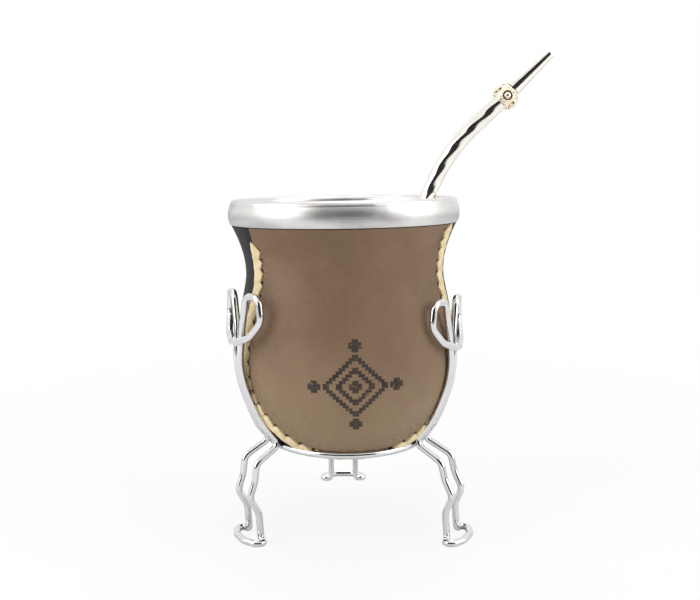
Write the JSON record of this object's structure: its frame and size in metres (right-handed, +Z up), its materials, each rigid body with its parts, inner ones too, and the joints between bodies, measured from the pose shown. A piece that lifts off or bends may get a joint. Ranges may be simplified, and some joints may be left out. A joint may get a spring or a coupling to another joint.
{
  "type": "mate gourd drink",
  "caption": "Mate drink in a leather-covered gourd cup with a metal rim, on a bent-wire tripod stand, with its curved metal straw.",
  "frame": {"origin": "middle of the bounding box's bottom face, on the surface the stand's feet rest on", "axes": "+Z up along the cup's axis; +Y to the back, away from the leather front panel; the straw leans to +X"},
  "size_m": [0.125, 0.095, 0.1856],
  "materials": {
    "rim_metal": "satin, hand-burnished, with soft smears",
    "gourd": "bare dried gourd shell, darkened by the drink",
    "panel_leather": "smooth brown leather with faint creases",
    "side_leather": "smooth black leather",
    "rawhide": "untanned cream rawhide strip, laced",
    "straw_metal": "bright nickel plate",
    "collar_metal": "polished, with darkened hollows",
    "yerba": "wet chopped leaves and stems",
    "infusion": "cloudy green-brown drink with fine foam",
    "stand_wire": "bright chromed wire"
  },
  "bodies": {
    "root": {"rim": "rim_metal", "gourd": "gourd", "leather_front": "panel_leather", "leather_back": "side_leather", "lacing": "rawhide", "straw_tube": "straw_metal", "straw_collar": "collar_metal", "straw_mouthpiece": "straw_metal", "straw_strainer": "straw_metal", "yerba": "yerba", "infusion": "infusion", "ring": "stand_wire", "leg_left": "stand_wire", "leg_right": "stand_wire", "leg_back": "stand_wire"}
  },
  "joints": []
}
